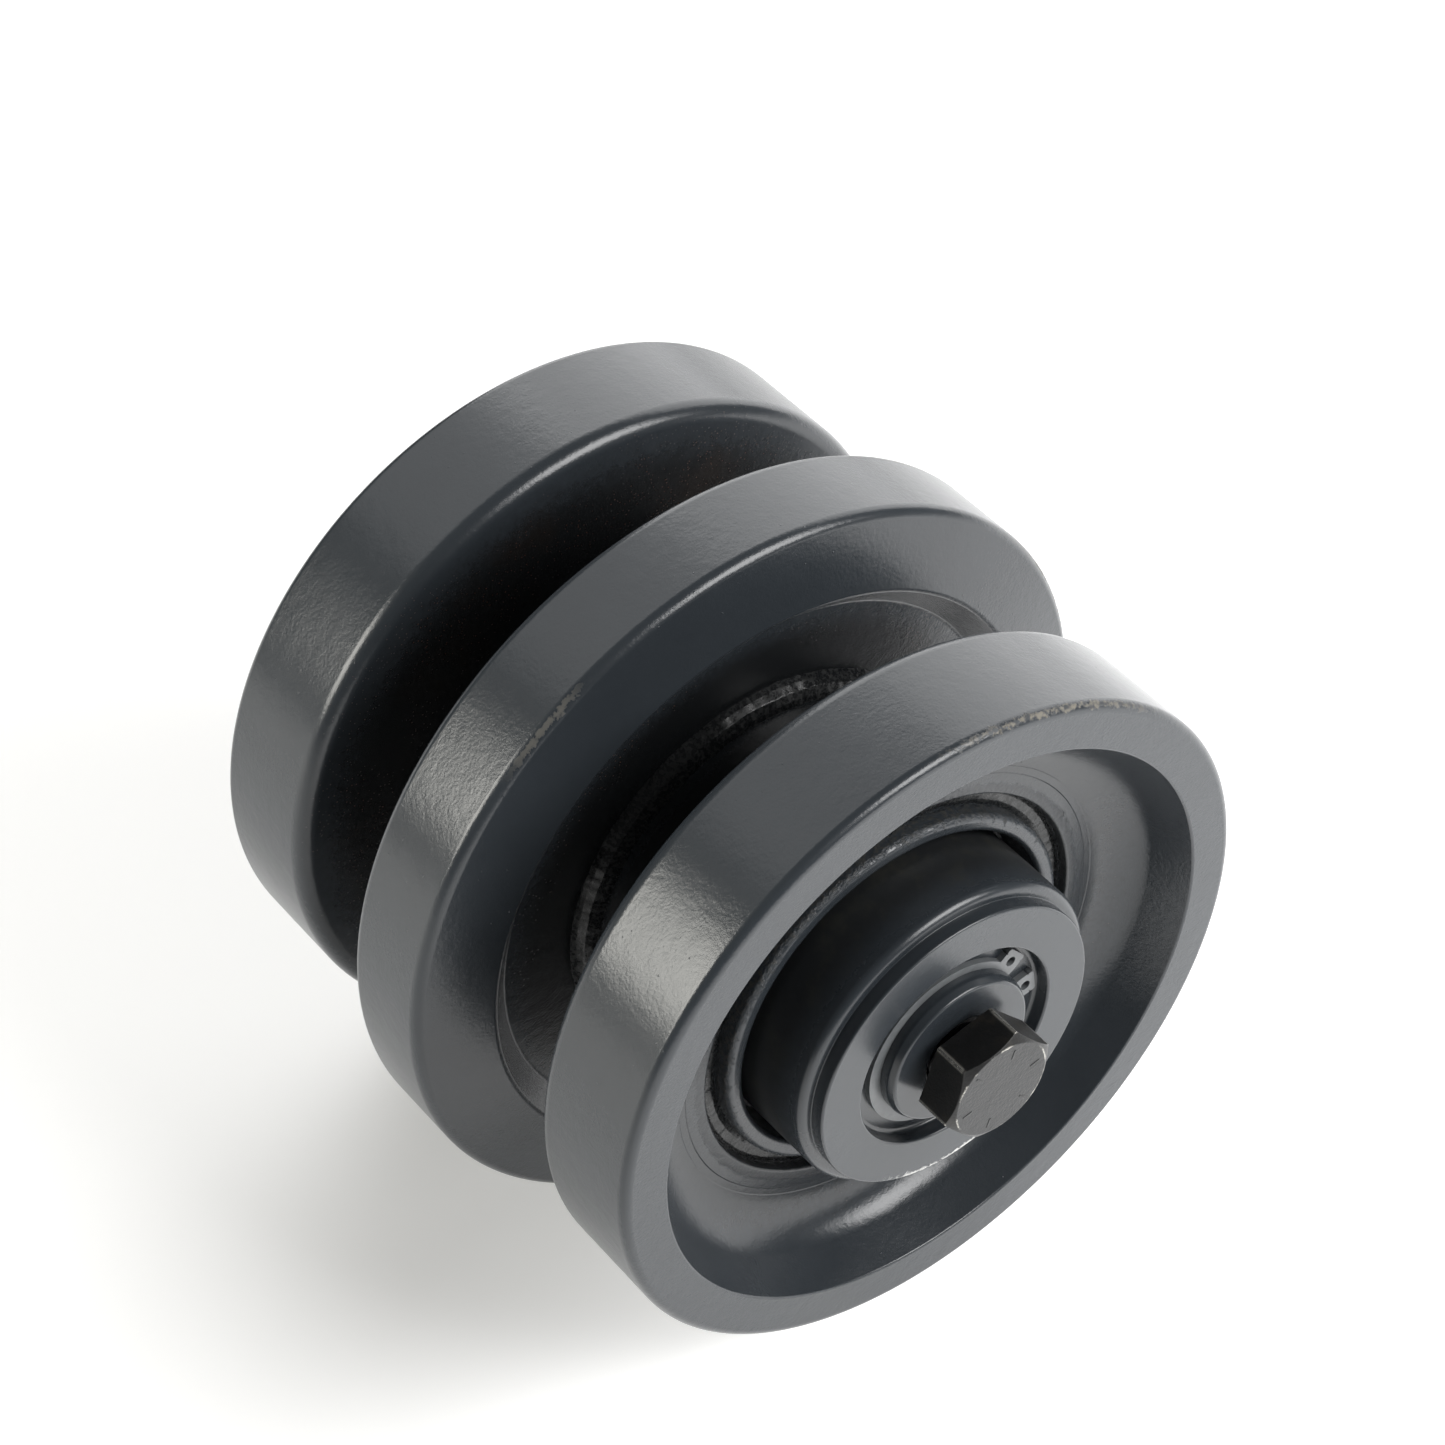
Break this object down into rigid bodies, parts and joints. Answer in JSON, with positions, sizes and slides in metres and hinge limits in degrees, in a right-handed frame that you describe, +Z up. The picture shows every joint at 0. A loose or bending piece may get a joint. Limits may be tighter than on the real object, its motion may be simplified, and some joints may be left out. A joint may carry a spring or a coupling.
{
  "type": "track roller",
  "caption": "Sealed track roller: dished outer wheels and a taller centre guide flange welded to a hub that turns on a fixed shaft with end collars.",
  "frame": {"origin": "middle of the axle", "axes": "+Y along the axle towards the right-hand collar, +Z up"},
  "size_m": [0.219, 0.2284, 0.219],
  "materials": {
    "bright_steel": "turned steel under a thin grey coat",
    "plug_steel": "zinc-coated steel",
    "black_steel": "black oxide steel, bright on the worn edges",
    "spring_steel": "phosphated spring steel under grey paint",
    "collar_paint": "slate grey semi-gloss paint",
    "rubber": "nitrile rubber",
    "seal_iron": "cast iron with a lapped face",
    "bronze": "sintered bronze on steel",
    "hub_paint": "slate grey semi-gloss paint",
    "flange_paint": "slate grey semi-gloss paint",
    "wheel_paint": "slate grey semi-gloss paint",
    "weld_paint": "painted weld, rough"
  },
  "bodies": {
    "axle": {"shaft": "bright_steel", "oil_plug": "plug_steel", "hex_bolts": "black_steel", "circlips": "spring_steel", "collar_left": "collar_paint", "collar_right": "collar_paint", "packing_ring_left": "rubber", "packing_ring_right": "rubber", "fixed_seal_left": "seal_iron", "fixed_seal_right": "seal_iron", "fixed_rubber_left": "rubber", "fixed_rubber_right": "rubber"},
    "roller": {"hub": "hub_paint", "centre_flange": "flange_paint", "wheel_left": "wheel_paint", "wheel_right": "wheel_paint", "flange_weld_left": "weld_paint", "flange_weld_right": "weld_paint", "wheel_weld_left": "weld_paint", "wheel_weld_right": "weld_paint", "bushing_left": "bronze", "bushing_right": "bronze", "turning_seal_left": "seal_iron", "turning_seal_right": "seal_iron", "turning_rubber_left": "rubber", "turning_rubber_right": "rubber"}
  },
  "joints": [
    {"name": "roller_spin", "type": "hinge", "parent": "axle", "child": "roller", "pos_m": [0, 0, 0], "axis": [0, 1, 0], "continuous": true}
  ]
}
